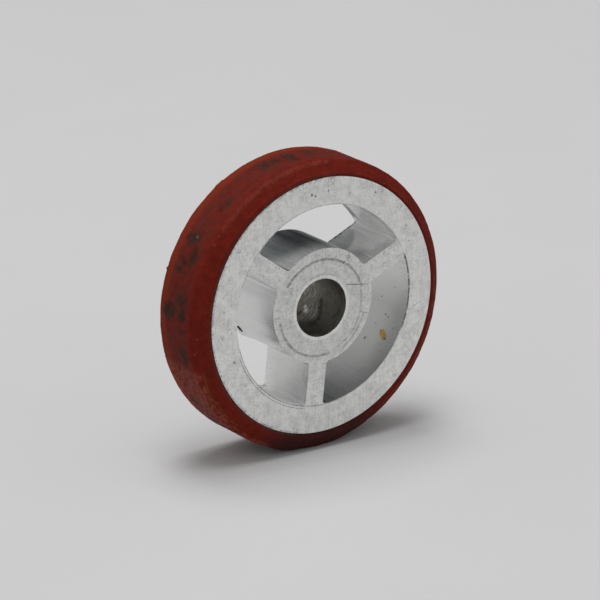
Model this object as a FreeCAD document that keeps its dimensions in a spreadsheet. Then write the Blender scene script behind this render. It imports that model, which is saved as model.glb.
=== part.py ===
import FreeCAD, Part
import math
import os

import Sketcher
from FreeCAD import Vector

# Spoked wheel: an extruded aluminium core with a bored boss, and a rubber tyre moulded round it.
# The bore runs along Y, Z is up, and the origin is the middle of the bore.

# Driving sizes, in millimetres and degrees.
SIZES = {
    "tread_diameter": 60.0,  # outside of the tyre, the wheel's running size
    "wheel_width": 14.6,  # core and tyre along the bore
    "tyre_thickness": 3.5,  # rubber between the core and the tread
    "shoulder_depth": 1.9,  # bevel on each side of the tyre, along the bore
    "side_land": 1.0,  # flat rubber beside the core's face, before the bevel
    "tread_edge_radius": 0.8,  # rounding where a bevel meets the tread
    "rim_wall": 5.75,  # aluminium between the windows and the tyre
    "boss_wall": 5.9,  # aluminium between the bore and the windows
    "bore_diameter": 12.0,  # plain bore for the shaft
    "bore_chamfer": 0.2,  # broken edge at each end of the bore
    "spoke_count": 3,  # straight spokes, evenly spaced
    "spoke_thickness": 4.2,  # across each spoke
    "spoke_angle": 24.0,  # first spoke, from +X towards +Z
    "corner_radius": 0.6,  # rounding in the corners of each window
    "section_offset_x": 0.38,  # extruded section off the bore's axis, along X
    "section_offset_z": 0.37,  # extruded section off the bore's axis, along Z
}

# Two places or radii closer than this are the same.
SAME = 1e-4

FULL_TURN = 360

# How a sketch numbers the start, end and centre of a line or arc, its own origin and its two axes.
START_INDEX, END_INDEX, CENTRE_INDEX = 1, 2, 3
ORIGIN = (-1, 1)
ACROSS_AXIS_INDEX, UP_AXIS_INDEX = -1, -2

doc = FreeCAD.newDocument("spoked_wheel")
sheet = doc.addObject("Spreadsheet::Sheet", "sizes")
for row, (alias, number) in enumerate(SIZES.items(), start=1):
    sheet.set(f"A{row}", alias)
    sheet.set(f"B{row}", str(number))
    sheet.setAlias(f"B{row}", alias)
doc.recompute()


class Dimension:
    """A number, with the expression on the sheet that gives it."""

    def __init__(self, number, expression):
        self.number = number
        self.expression = expression

    def __add__(self, other):
        return Dimension(self.number + other.number, f"{self.expression} + {other.expression}")

    def __sub__(self, other):
        return Dimension(self.number - other.number, f"{self.expression} - ({other.expression})")

    def half(self):
        return Dimension(self.number / 2, f"({self.expression}) / 2")


def size(alias):
    """A driving size, as the sheet holds it."""
    return Dimension(float(sheet.get(alias)), f"sizes.{alias}")


# Sizes that follow from the driving ones.
tread_radius = size("tread_diameter").half()
core_radius = tread_radius - size("tyre_thickness")
bevel_start_radius = core_radius + size("side_land")
window_outer_radius = core_radius - size("rim_wall")
bore_radius = size("bore_diameter").half()
window_inner_radius = bore_radius + size("boss_wall")
half_spoke = size("spoke_thickness").half()
half_width = size("wheel_width").half()
first_spoke = size("spoke_angle")
spoke_pitch = Dimension(FULL_TURN / size("spoke_count").number, f"{FULL_TURN} / sizes.spoke_count")
second_spoke = first_spoke + spoke_pitch
section_centre = Vector(size("section_offset_x").number, 0, size("section_offset_z").number)


def add_body(label):
    """An empty sub-part with its own label, standing at the origin."""
    body = doc.addObject("PartDesign::Body", label)
    body.Label = label
    body.Placement = FreeCAD.Placement()
    return body


def add_sketch(body, name, plane_role):
    """A sketch on one of the body's own origin planes."""
    plane = next(feature for feature in body.Origin.OriginFeatures if feature.Role == plane_role)
    sketch = body.newObject("Sketcher::SketchObject", name)
    sketch.AttachmentSupport = [(plane, "")]
    sketch.MapMode = "FlatFace"
    return sketch


def centre_on_section(sketch):
    """Moves a sketch on the XZ plane to the middle of the extruded section."""
    sketch.setExpression("AttachmentOffset.Base.x", "sizes.section_offset_x")
    sketch.setExpression("AttachmentOffset.Base.y", "sizes.section_offset_z")


def dimension(sketch, kind, *places, to):
    """Adds a dimension to a sketch and ties it to the sheet."""
    number = math.radians(to.number) if kind == "Angle" else to.number
    index = sketch.addConstraint(Sketcher.Constraint(kind, *places, number))
    sketch.setExpression(f"Constraints[{index}]", to.expression)


def add_circle(sketch, radius):
    """A circle about the sketch's own origin."""
    circle = sketch.addGeometry(Part.Circle(Vector(), Vector(0, 0, 1), radius.number))
    sketch.addConstraint(Sketcher.Constraint("Coincident", circle, CENTRE_INDEX, *ORIGIN))
    dimension(sketch, "Radius", circle, to=radius)


def add_arc(sketch, radius, start, end):
    """An arc about the sketch's own origin, from one point round to another."""
    circle = Part.Circle(Vector(), Vector(0, 0, 1), radius.number)
    bearings = [math.atan2(point.y, point.x) for point in (start, end)]
    arc = sketch.addGeometry(Part.ArcOfCircle(circle, *bearings))
    sketch.addConstraint(Sketcher.Constraint("Coincident", arc, CENTRE_INDEX, *ORIGIN))
    dimension(sketch, "Radius", arc, to=radius)
    return arc


def add_line(sketch, start, end):
    """A straight line between two points."""
    return sketch.addGeometry(Part.LineSegment(start, end))


def meet(sketch, *ends):
    """Joins ends of lines and arcs in pairs, each given as the line or arc and which end of it."""
    for (first, first_end), (second, second_end) in zip(ends[0::2], ends[1::2]):
        sketch.addConstraint(Sketcher.Constraint("Coincident", first, first_end, second, second_end))


def cut_through(body, name, sketch):
    """A cut of the sketch's outline right through the body, both ways from the sketch."""
    cut = body.newObject("PartDesign::Pocket", name)
    cut.Profile = sketch
    cut.SideType = "Symmetric"
    cut.Type = "ThroughAll"
    return cut


def edges_where(feature, test):
    """Names of the feature's edges that pass a test."""
    return [f"Edge{number}" for number, edge in enumerate(feature.Shape.Edges, start=1) if test(edge)]


def is_circle_of(radius):
    """A test for round edges of one radius."""
    return lambda edge: isinstance(edge.Curve, Part.Circle) and abs(edge.Curve.Radius - radius.number) < SAME


def is_window_corner(edge):
    """Whether an edge runs along the bore, inside the rim."""
    if not isinstance(edge.Curve, Part.Line):
        return False
    start, end = (vertex.Point - section_centre for vertex in edge.Vertexes)
    runs_along_bore = math.hypot(start.x - end.x, start.z - end.z) < SAME
    return runs_along_bore and math.hypot(start.x, start.z) < window_outer_radius.number + SAME


# Wheel core: a length of extruded section, faced to width, with its windows between straight spokes.
core = add_body("wheel_core")

blank_sketch = add_sketch(core, "blank_sketch", "XZ_Plane")
centre_on_section(blank_sketch)
add_circle(blank_sketch, core_radius)
blank = core.newObject("PartDesign::Pad", "blank")
blank.Profile = blank_sketch
blank.SideType = "Symmetric"
blank.setExpression("Length", "sizes.wheel_width")


def flank_point(spoke, radius, side):
    """Where a spoke's flank meets a circle of the section: side 1 for its far flank, -1 for its near."""
    bearing = math.radians(spoke.number) + side * math.asin(half_spoke.number / radius.number)
    return Vector(math.cos(bearing), math.sin(bearing), 0) * radius.number


# One window: two flanks of neighbouring spokes, closed by an arc of the boss and an arc of the rim.
first_inner = flank_point(first_spoke, window_inner_radius, 1)
first_outer = flank_point(first_spoke, window_outer_radius, 1)
second_inner = flank_point(second_spoke, window_inner_radius, -1)
second_outer = flank_point(second_spoke, window_outer_radius, -1)

window_sketch = add_sketch(core, "window_sketch", "XZ_Plane")
centre_on_section(window_sketch)
first_flank = add_line(window_sketch, first_inner, first_outer)
second_flank = add_line(window_sketch, second_inner, second_outer)
rim_arc = add_arc(window_sketch, window_outer_radius, first_outer, second_outer)
boss_arc = add_arc(window_sketch, window_inner_radius, first_inner, second_inner)
for arc, flank_end in ((rim_arc, END_INDEX), (boss_arc, START_INDEX)):
    meet(window_sketch, (first_flank, flank_end), (arc, START_INDEX))
    meet(window_sketch, (arc, END_INDEX), (second_flank, flank_end))
dimension(window_sketch, "Angle", first_flank, to=first_spoke)
dimension(window_sketch, "Angle", second_flank, to=second_spoke)
dimension(window_sketch, "Distance", *ORIGIN, first_flank, to=half_spoke)
dimension(window_sketch, "Distance", *ORIGIN, second_flank, to=half_spoke)
window = cut_through(core, "window", window_sketch)

windows = core.newObject("PartDesign::PolarPattern", "windows")
windows.Originals = [window]
windows.Axis = (window_sketch, ["N_Axis"])
windows.Angle = FULL_TURN
windows.setExpression("Occurrences", "sizes.spoke_count")
core.Tip = windows
doc.recompute()

window_corners = core.newObject("PartDesign::Fillet", "window_corners")
window_corners.Base = (windows, edges_where(windows, is_window_corner))
window_corners.setExpression("Radius", "sizes.corner_radius")

# The bore is turned after the section is cut off, so it takes the wheel's own axis.
bore_sketch = add_sketch(core, "bore_sketch", "XZ_Plane")
add_circle(bore_sketch, bore_radius)
bore = cut_through(core, "bore", bore_sketch)
doc.recompute()

bore_mouths = core.newObject("PartDesign::Chamfer", "bore_mouths")
bore_mouths.Base = (bore, edges_where(bore, is_circle_of(bore_radius)))
bore_mouths.setExpression("Size", "sizes.bore_chamfer")

# Tyre: a disc with bevelled shoulders, true to the bore, seated on the whole outside of the core.
tyre = add_body("tyre")

outer_end = Vector(bevel_start_radius.number, half_width.number, 0)
tread_end = Vector(tread_radius.number, half_width.number - size("shoulder_depth").number, 0)
axis_end = Vector(0, half_width.number, 0)


def mirrored(point):
    """The same point on the other side of the wheel."""
    return Vector(point.x, -point.y, 0)


profile_sketch = add_sketch(tyre, "profile_sketch", "XY_Plane")
axis_line = add_line(profile_sketch, axis_end, mirrored(axis_end))
near_side = add_line(profile_sketch, mirrored(axis_end), mirrored(outer_end))
near_bevel = add_line(profile_sketch, mirrored(outer_end), mirrored(tread_end))
tread = add_line(profile_sketch, mirrored(tread_end), tread_end)
far_bevel = add_line(profile_sketch, tread_end, outer_end)
far_side = add_line(profile_sketch, outer_end, axis_end)
outline = [axis_line, near_side, near_bevel, tread, far_bevel, far_side]
for line, next_line in zip(outline, outline[1:] + outline[:1]):
    meet(profile_sketch, (line, END_INDEX), (next_line, START_INDEX))
profile_sketch.addConstraint(Sketcher.Constraint("PointOnObject", axis_line, START_INDEX, UP_AXIS_INDEX))
for line in (axis_line, tread):
    ends = (line, START_INDEX, line, END_INDEX)
    profile_sketch.addConstraint(Sketcher.Constraint("Symmetric", *ends, ACROSS_AXIS_INDEX))
for line in (near_side, far_side):
    profile_sketch.addConstraint(Sketcher.Constraint("Horizontal", line))
profile_sketch.addConstraint(Sketcher.Constraint("Equal", near_side, far_side))
dimension(profile_sketch, "DistanceY", axis_line, END_INDEX, axis_line, START_INDEX, to=size("wheel_width"))
dimension(profile_sketch, "DistanceX", near_side, START_INDEX, near_side, END_INDEX, to=bevel_start_radius)
dimension(profile_sketch, "DistanceX", *ORIGIN, tread, START_INDEX, to=tread_radius)
bevel_ends = (near_bevel, START_INDEX, near_bevel, END_INDEX)
dimension(profile_sketch, "DistanceY", *bevel_ends, to=size("shoulder_depth"))
disc = tyre.newObject("PartDesign::Revolution", "disc")
disc.Profile = profile_sketch
disc.ReferenceAxis = (profile_sketch, ["V_Axis"])
disc.Angle = FULL_TURN

seat_sketch = add_sketch(tyre, "seat_sketch", "XZ_Plane")
centre_on_section(seat_sketch)
add_circle(seat_sketch, core_radius)
seat = cut_through(tyre, "seat", seat_sketch)
doc.recompute()

tread_edges = tyre.newObject("PartDesign::Fillet", "tread_edges")
tread_edges.Base = (seat, edges_where(seat, is_circle_of(tread_radius)))
tread_edges.setExpression("Radius", "sizes.tread_edge_radius")
doc.recompute()

# Every feature has to be sound, and every cut has to take material away, before anything is written.
for item in doc.Objects:
    if "Invalid" in item.State or "Error" in item.State:
        raise RuntimeError(f"{item.Name} failed: {item.State}")
for before, after in ((blank, window), (window, windows), (window_corners, bore), (disc, seat)):
    if after.Shape.Volume >= before.Shape.Volume:
        raise RuntimeError(f"{after.Name} cut nothing")

os.makedirs("parts", exist_ok=True)
for part in (core, tyre):
    if part.Shape.isNull() or not part.Shape.isValid() or len(part.Shape.Solids) != 1:
        raise RuntimeError(f"{part.Label} is not one sound solid")
    part.Shape.exportStep(f"parts/{part.Label}.step")
    print(part.Label, round(part.Shape.Volume, 2), "cubic millimetres", part.Shape.BoundBox)
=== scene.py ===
import math
import random

import bpy
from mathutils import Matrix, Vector


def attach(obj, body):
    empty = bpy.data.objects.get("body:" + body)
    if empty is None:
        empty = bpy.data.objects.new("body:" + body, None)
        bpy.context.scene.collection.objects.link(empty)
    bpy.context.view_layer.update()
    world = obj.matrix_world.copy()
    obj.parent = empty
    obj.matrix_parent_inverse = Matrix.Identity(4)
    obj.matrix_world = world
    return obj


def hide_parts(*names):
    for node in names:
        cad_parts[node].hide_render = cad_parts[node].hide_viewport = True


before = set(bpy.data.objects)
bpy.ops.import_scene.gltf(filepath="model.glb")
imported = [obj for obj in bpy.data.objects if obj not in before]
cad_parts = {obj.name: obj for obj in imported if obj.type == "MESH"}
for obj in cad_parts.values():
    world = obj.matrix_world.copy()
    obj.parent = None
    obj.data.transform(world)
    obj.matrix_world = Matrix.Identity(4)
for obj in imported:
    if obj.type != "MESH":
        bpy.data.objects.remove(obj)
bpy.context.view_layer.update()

# Wheel core: a slice of extruded aluminium section, with a rim, a boss and three straight spokes.
# It is sawn to width and faced, its bore is turned out, and the tyre is moulded round it. A washer has
# scored its boss, a file has broken two of its edges, and it has the nicks, pits and dirt of long use.
MM = 0.001
WHEEL_WIDTH = 14.6 * MM
HALF_WIDTH = WHEEL_WIDTH / 2
CORE_RADIUS = 26.5 * MM
WINDOW_OUTER_RADIUS = 20.75 * MM
WINDOW_INNER_RADIUS = 11.9 * MM
BORE_RADIUS = 6.0 * MM
BORE_EDGE = 0.05 * MM
SPOKE_THICKNESS = 4.2 * MM
SPOKE_ANGLES = (24, 144, 264)  # degrees from +X towards +Z
CORNER_RADIUS = 0.6 * MM
CORNER_ROOM = 1.2 * CORNER_RADIUS  # a corner's rounding needs this much wall beside it
EDGE_ROUNDING = 0.12 * MM
SECTION_CENTRE = Vector((0.38, 0, 0.37)) * MM  # the section lies a little off the bore's axis
RIM_WALL_CENTRE = Vector((0.58, 0, 0.39)) * MM  # and the rim's inside a little further
ALONG_BORE = (math.pi / 2, 0, 0)
CUT_LENGTH = 2 * WHEEL_WIDTH
SAME = 0.02 * MM  # places closer than this are the same


def named(name):
    """Names the piece that was just added, and puts its place into its mesh."""
    piece = bpy.context.object
    piece.name = piece.data.name = name
    bpy.ops.object.transform_apply(location=True, rotation=True, scale=True)
    return piece


def add_round(name, radius, length, sides, centre):
    """A round bar along the bore."""
    bpy.ops.object.select_all(action="DESELECT")
    bpy.ops.mesh.primitive_cylinder_add(
        vertices=sides, radius=radius, depth=length, location=centre, rotation=ALONG_BORE
    )
    return named(name)


def work_on(piece):
    """Makes a piece the only selected one."""
    bpy.ops.object.select_all(action="DESELECT")
    piece.select_set(True)
    bpy.context.view_layer.objects.active = piece


def apply_modifier(piece, kind, **settings):
    """Gives a piece a modifier with its settings, and applies it."""
    work_on(piece)
    modifier = piece.modifiers.new(kind.lower(), kind)
    for setting, value in settings.items():
        setattr(modifier, setting, value)
    bpy.ops.object.modifier_apply(modifier=modifier.name)


def cut(piece, tool):
    """Cuts the tool's shape out of a piece, and throws the tool away."""
    apply_modifier(piece, "BOOLEAN", operation="DIFFERENCE", solver="EXACT", object=tool)
    bpy.data.objects.remove(tool)


def select_in_mesh(piece, kind, wanted):
    """Selects the vertices, edges or faces of a piece that pass a test, and leaves it in edit mode."""
    work_on(piece)
    bpy.ops.object.mode_set(mode="EDIT")
    bpy.ops.mesh.select_mode(type=kind)
    bpy.ops.mesh.select_all(action="DESELECT")
    bpy.ops.object.mode_set(mode="OBJECT")
    mesh = piece.data
    for item in {"VERT": mesh.vertices, "EDGE": mesh.edges, "FACE": mesh.polygons}[kind]:
        item.select = wanted(mesh, item)
    bpy.ops.object.mode_set(mode="EDIT")


def merge_doubles(piece):
    """Makes one vertex of those that lie in the same place."""
    select_in_mesh(piece, "VERT", lambda mesh, vertex: True)
    bpy.ops.mesh.remove_doubles(threshold=SAME)
    bpy.ops.object.mode_set(mode="OBJECT")


def edge_points(mesh, edge):
    """The two ends of an edge."""
    return [mesh.vertices[index].co for index in edge.vertices]


def from_axis(point):
    """Distance of a point from the bore's axis."""
    return math.hypot(point.x, point.z)


def bearing(point):
    """Angle of a point round the bore's axis, in degrees from +X towards +Z."""
    return math.degrees(math.atan2(point.z, point.x))


def round_direction(degrees):
    """The direction across the bore at an angle from +X towards +Z."""
    angle = math.radians(degrees)
    return Vector((math.cos(angle), 0, math.sin(angle)))


core = add_round("core_extrusion", CORE_RADIUS, WHEEL_WIDTH, sides=240, centre=SECTION_CENTRE)

# The windows are a ring between boss and rim, parted by the three spokes.
windows = add_round("windows", WINDOW_OUTER_RADIUS, CUT_LENGTH, sides=180, centre=RIM_WALL_CENTRE)
cut(windows, add_round("boss", WINDOW_INNER_RADIUS, 2 * CUT_LENGTH, sides=144, centre=SECTION_CENTRE))
for degrees in SPOKE_ANGLES:
    bpy.ops.object.select_all(action="DESELECT")
    bpy.ops.mesh.primitive_cube_add(
        size=1,
        location=SECTION_CENTRE + round_direction(degrees) * CORE_RADIUS / 2,
        rotation=(0, -math.radians(degrees), 0),
        scale=(CORE_RADIUS, 2 * CUT_LENGTH, SPOKE_THICKNESS),
    )
    cut(windows, named("spoke"))
merge_doubles(windows)


def is_window_corner(mesh, edge):
    """Whether an edge runs along the bore where a spoke's flank meets the boss or the rim."""
    start, end = edge_points(mesh, edge)
    if abs(start.y - end.y) < WHEEL_WIDTH:
        return False
    offset = start - SECTION_CENTRE
    for degrees in SPOKE_ANGLES:
        out = round_direction(degrees)
        across = abs(offset.z * out.x - offset.x * out.z)
        if offset.dot(out) > 0 and abs(across - SPOKE_THICKNESS / 2) < SAME:
            return True
    return False


corners = [
    edge_points(windows.data, edge)[0].copy()
    for edge in windows.data.edges
    if is_window_corner(windows.data, edge)
]


def crowds_corner(mesh, edge):
    """Whether an edge along the bore lies too near a corner to leave room for its rounding."""
    start, end = edge_points(mesh, edge)
    if abs(start.y - end.y) < WHEEL_WIDTH or is_window_corner(mesh, edge):
        return False
    return any(from_axis(start - corner) < CORNER_ROOM for corner in corners)


select_in_mesh(windows, "EDGE", crowds_corner)
bpy.ops.mesh.dissolve_edges(use_verts=True)
bpy.ops.object.mode_set(mode="OBJECT")
select_in_mesh(windows, "EDGE", is_window_corner)
bpy.ops.mesh.bevel(offset=CORNER_RADIUS, segments=4, affect="EDGES")
bpy.ops.object.mode_set(mode="OBJECT")
cut(core, windows)

# The rim's inner edge is filed off in front, low in the left window, and behind, high in the top one,
# and the boss's front edge is worn round: (centre, radius, side, from and to in degrees, mm wide, steps).
BROKEN_EDGES = (
    (RIM_WALL_CENTRE, WINDOW_OUTER_RADIUS, -1, -163, -107, 0.6, 1),
    (RIM_WALL_CENTRE, WINDOW_OUTER_RADIUS, 1, 32, 61, 1.3, 1),
    (SECTION_CENTRE, WINDOW_INNER_RADIUS, -1, -198, -113, 0.5, 3),
    (SECTION_CENTRE, WINDOW_INNER_RADIUS, -1, -78, 7, 0.3, 3),
)
FADING_SHARE = 0.3  # share of a stretch over which each of its ends fades out
BEVEL_WEIGHTS = "bevel_weight_edge"
for centre, radius, side, first, last, width, steps in BROKEN_EDGES:
    mesh = core.data
    weights = mesh.attributes.new(BEVEL_WEIGHTS, "FLOAT", "EDGE")
    for edge in mesh.edges:
        points = [point - centre for point in edge_points(mesh, edge)]
        shares = [((bearing(point) - first) % 360) / (last - first) for point in points]
        on_wall = all(abs(from_axis(point) - radius) < SAME for point in points)
        on_side = all(abs(point.y - side * HALF_WIDTH) < SAME for point in points)
        if on_wall and on_side and max(shares) < 1:
            middle = sum(shares) / 2
            weights.data[edge.index].value = min(1, min(middle, 1 - middle) / FADING_SHARE)
    apply_modifier(core, "BEVEL", limit_method="WEIGHT", width=width * MM, segments=steps)
    merge_doubles(core)
    leftover = core.data.attributes.get(BEVEL_WEIGHTS)
    if leftover:
        core.data.attributes.remove(leftover)

apply_modifier(
    core,
    "BEVEL",
    width=EDGE_ROUNDING,
    segments=2,
    limit_method="ANGLE",
    angle_limit=math.radians(40),
    use_clamp_overlap=True,
)

# The bore is turned last, so it takes the wheel's own axis and has nearly sharp edges.
cut(core, add_round("bore", BORE_RADIUS, CUT_LENGTH, sides=144, centre=Vector()))


def is_bore_mouth(mesh, edge):
    """Whether an edge lies round an end of the bore."""
    return all(
        abs(from_axis(point) - BORE_RADIUS) < SAME and abs(abs(point.y) - HALF_WIDTH) < SAME
        for point in edge_points(mesh, edge)
    )


select_in_mesh(core, "EDGE", is_bore_mouth)
bpy.ops.mesh.bevel(offset=BORE_EDGE, segments=1, affect="EDGES")
bpy.ops.object.mode_set(mode="OBJECT")


def pull(piece, spot_on_piece, move, reach):
    """Pulls the skin of a piece out or in round one point."""
    nearest = min(piece.data.vertices, key=lambda vertex: (vertex.co - spot_on_piece).length_squared).index
    select_in_mesh(piece, "VERT", lambda mesh, vertex: vertex.index == nearest)
    bpy.ops.transform.translate(
        value=move, use_proportional_edit=True, proportional_edit_falloff="SMOOTH", proportional_size=reach
    )
    bpy.ops.object.mode_set(mode="OBJECT")


# The tools have left burrs on the far side, inside the bore's mouth and out from the boss's edge: (centre,
# radius, degrees, mm out, mm reach). They reach no deeper than a ring that is cut round all the walls.
FAR_SIDE = Vector((0, HALF_WIDTH, 0))
BURRS = ((Vector(), BORE_RADIUS, -31, -0.3, 3.5), (SECTION_CENTRE, WINDOW_INNER_RADIUS, 217, 1.05, 4.0))
BURR_DEPTH = 2.0 * MM
select_in_mesh(core, "FACE", lambda mesh, face: True)
bpy.ops.mesh.bisect(plane_co=(0, HALF_WIDTH - BURR_DEPTH, 0), plane_no=(0, 1, 0))
bpy.ops.object.mode_set(mode="OBJECT")
for centre, radius, degrees, height, reach in BURRS:
    out = round_direction(degrees)
    pull(core, FAR_SIDE + centre + out * radius, out * height * MM, reach * MM)

# A washer has scored arcs of a ring into the boss: (radius in mm, from and to in degrees, darkness).
SCORED_ARCS = ((10.0, 57, 144, 0.62), (10.0, 189, 280, 0.55), (9.75, 292, 372, 0.28),
               (10.6, 300, 342, 0.35), (10.1, 16, 53, 0.5))
SCORE_THICKNESS = 0.2 * MM
SCORE_LIFT = 0.17 * MM
SCORE_STEP = math.radians(3)


def add_score(radius, start, end):
    """A thin round cutter along an arc on the front face."""
    bpy.ops.object.select_all(action="DESELECT")
    bpy.ops.mesh.primitive_circle_add(
        vertices=8,
        radius=SCORE_THICKNESS,
        fill_type="NOTHING",
        location=(radius, -HALF_WIDTH - SCORE_LIFT, 0),
    )
    score = named("score")
    bpy.ops.object.mode_set(mode="EDIT")
    bpy.ops.mesh.select_all(action="SELECT")
    sweep = end - start
    bpy.ops.mesh.spin(steps=round(sweep / SCORE_STEP), angle=sweep, center=(0, 0, 0), axis=(0, -1, 0))
    bpy.ops.mesh.select_all(action="SELECT")
    bpy.ops.mesh.fill_holes(sides=0)
    bpy.ops.mesh.normals_make_consistent(inside=False)
    bpy.ops.object.mode_set(mode="OBJECT")
    score.rotation_euler = (0, -start, 0)
    bpy.ops.object.transform_apply(rotation=True)
    return score


for radius, first, last, darkness in SCORED_ARCS:
    cut(core, add_score(radius * MM, math.radians(first), math.radians(last)))

# Pits in the faced sides: (x, z, radius) in mm. Nicks along the right-hand inner edge of the rim: degrees.
PITS = ((-2.33, 23.84, 0.3), (-1.45, 23.42, 0.24), (1.67, 24.02, 0.2), (13.07, 21.71, 0.22),
        (-20.8, -7.3, 0.2), (5.47, 8.46, 0.2))
SMALL_PITS = 26
SMALL_PIT_RADII = (0.1, 0.18)
PIT_ZONE = (21.8, 25.8)  # mm from the section's middle
PIT_SPACING = 3  # radii from one pit to the next
PIT_LIFT = 0.55  # share of its radius that a pit's middle lies outside the face
NICK_ANGLES = (17.5, 14.6, 9.0, 5.1, -2.9, -4.6, -8.8, -13.6, -19.2, -26.8, -36.4, -66.9, -79.6)
NICK_RADII = (0.12, 0.2)
PIT_STRETCH = (0.7, 1.3)
random.seed(7)
dents = [Vector((x, -HALF_WIDTH / MM, z, radius)) * MM for x, z, radius in PITS]
while len(dents) < len(PITS) + SMALL_PITS:
    distance = random.uniform(*PIT_ZONE) * MM
    size = random.uniform(*SMALL_PIT_RADII) * MM
    side = -HALF_WIDTH if len(dents) % 2 else HALF_WIDTH
    place = SECTION_CENTRE + distance * round_direction(random.uniform(0, 360))
    if all((place - dent.xyz).length > PIT_SPACING * dent.w for dent in dents):
        dents.append(Vector((place.x, side, place.z, size)))
for degrees in NICK_ANGLES:
    size = random.uniform(*NICK_RADII) * MM
    place = RIM_WALL_CENTRE + WINDOW_OUTER_RADIUS * round_direction(degrees)
    dents.append(Vector((place.x, -HALF_WIDTH, place.z, size)))
bpy.ops.object.select_all(action="DESELECT")
balls = []
for dent in dents:
    lift = PIT_LIFT * dent.w * (1 if dent.y > 0 else -1)
    bpy.ops.mesh.primitive_ico_sphere_add(
        subdivisions=2,
        radius=dent.w,
        location=dent.xyz + Vector((0, lift, 0)),
        rotation=(0, random.uniform(0, math.pi), 0),
        scale=(1, 1, random.uniform(*PIT_STRETCH)),
    )
    balls.append(named("pit"))
for ball in balls:
    ball.select_set(True)
bpy.ops.object.join()
cut(core, bpy.context.object)

work_on(core)
bpy.ops.object.shade_smooth_by_angle(angle=math.radians(35))
FLAT = 0.999  # part of a face's normal along the bore, past which it lies flat on a side


def is_faced(mesh, face):
    """Whether a face lies flat on one of the wheel's two sides."""
    return abs(face.normal.y) > FLAT


select_in_mesh(core, "FACE", is_faced)
bpy.ops.mesh.faces_shade_flat()
bpy.ops.object.mode_set(mode="OBJECT")


def place_node(tree, kind, wires, **settings):
    """Adds a node, and gives each of its inputs a value or another node's output."""
    node = tree.nodes.new("ShaderNode" + kind)
    for setting, value in settings.items():
        setattr(node, setting, value)
    for socket, value in wires.items():
        if isinstance(value, bpy.types.NodeSocket):
            tree.links.new(value, node.inputs[socket])
        else:
            node.inputs[socket].default_value = value
    return node


def add_group(name, **inputs):
    """Starts a node group that puts out one mask, and gives its tree, inputs and output."""
    group = bpy.data.node_groups.new(name, "ShaderNodeTree")
    for socket, kind in inputs.items():
        group.interface.new_socket(socket, in_out="INPUT", socket_type="NodeSocket" + kind)
    group.interface.new_socket("Mask", in_out="OUTPUT", socket_type="NodeSocketFloat")
    return group, group.nodes.new("NodeGroupInput").outputs, group.nodes.new("NodeGroupOutput").inputs["Mask"]


def combine(tree, operation, first, second):
    """Puts two values together by a sum."""
    return place_node(tree, "Math", {0: first, 1: second}, operation=operation).outputs[0]


def both(tree, first, second):
    """A mask where two masks overlap."""
    return combine(tree, "MULTIPLY", first, second)


def weaken(tree, value, strength):
    """A mask at part of its strength."""
    return combine(tree, "MULTIPLY", value, strength)


def span(tree, value, low, high):
    """A value that goes from low to high as a mask goes from 0 to 1."""
    return combine(tree, "ADD", weaken(tree, value, high - low), low)


def combine_vectors(tree, operation, first, second):
    """Puts two vectors together by a sum that gives a vector."""
    return place_node(tree, "VectorMath", {0: first, 1: second}, operation=operation).outputs["Vector"]


def vector_value(tree, operation, first, second):
    """Puts two vectors together by a sum that gives a value."""
    return place_node(tree, "VectorMath", {0: first, 1: second}, operation=operation).outputs["Value"]


def length_of(tree, vector):
    """The length of a vector."""
    return place_node(tree, "VectorMath", {0: vector}, operation="LENGTH").outputs["Value"]


def fade(tree, value, empty, full):
    """A mask that goes smoothly from 0 to 1 as a value goes from one bound to the other."""
    wires = {"Value": value, "From Min": empty, "From Max": full}
    return place_node(tree, "MapRange", wires, interpolation_type="SMOOTHSTEP").outputs[0]


ACROSS_BORE = (1, 0, 1)  # what a vector is multiplied by to lose its part along the bore

# Grain: uneven patches of any size, stretched along any axis.
grain, ins, out = add_group(
    "grain", Vector="Vector", Stretch="Vector", Detail="Float", Low="Float", High="Float"
)
stretched = combine_vectors(grain, "MULTIPLY", ins["Vector"], ins["Stretch"])
wires = {"Vector": stretched, "Scale": 1, "Detail": ins["Detail"], "Roughness": 0.6}
noise = place_node(grain, "TexNoise", wires).outputs[0]
grain.links.new(fade(grain, noise, ins["Low"], ins["High"]), out)

# Spot: one soft round or oval mark, full inside its core.
spot, ins, out = add_group("spot", Vector="Vector", Centre="Vector", Size="Vector", Core="Float")
offset = combine_vectors(spot, "SUBTRACT", ins["Vector"], ins["Centre"])
reach = length_of(spot, combine_vectors(spot, "DIVIDE", offset, ins["Size"]))
spot.links.new(fade(spot, reach, 1, ins["Core"]), out)

# Ring: a line round the bore's direction, all the way or along an arc to both sides of a direction.
RING_CORE = 0.3  # share of a line's half width that is full
RING_ENDS = 0.02  # how softly an arc ends
ring, ins, out = add_group(
    "ring", Vector="Vector", Radius="Float", Width="Float", Direction="Vector", Reach="Float"
)
flat = combine_vectors(ring, "MULTIPLY", ins["Vector"], ACROSS_BORE)
away = combine(ring, "ABSOLUTE", combine(ring, "SUBTRACT", length_of(ring, flat), ins["Radius"]), 0)
line = fade(ring, combine(ring, "DIVIDE", away, ins["Width"]), 1, RING_CORE)
unit = place_node(ring, "VectorMath", {0: flat}, operation="NORMALIZE").outputs["Vector"]
within = vector_value(ring, "DOT_PRODUCT", unit, ins["Direction"])
start = combine(ring, "SUBTRACT", ins["Reach"], RING_ENDS)
ring.links.new(both(ring, line, fade(ring, within, start, ins["Reach"])), out)

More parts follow.
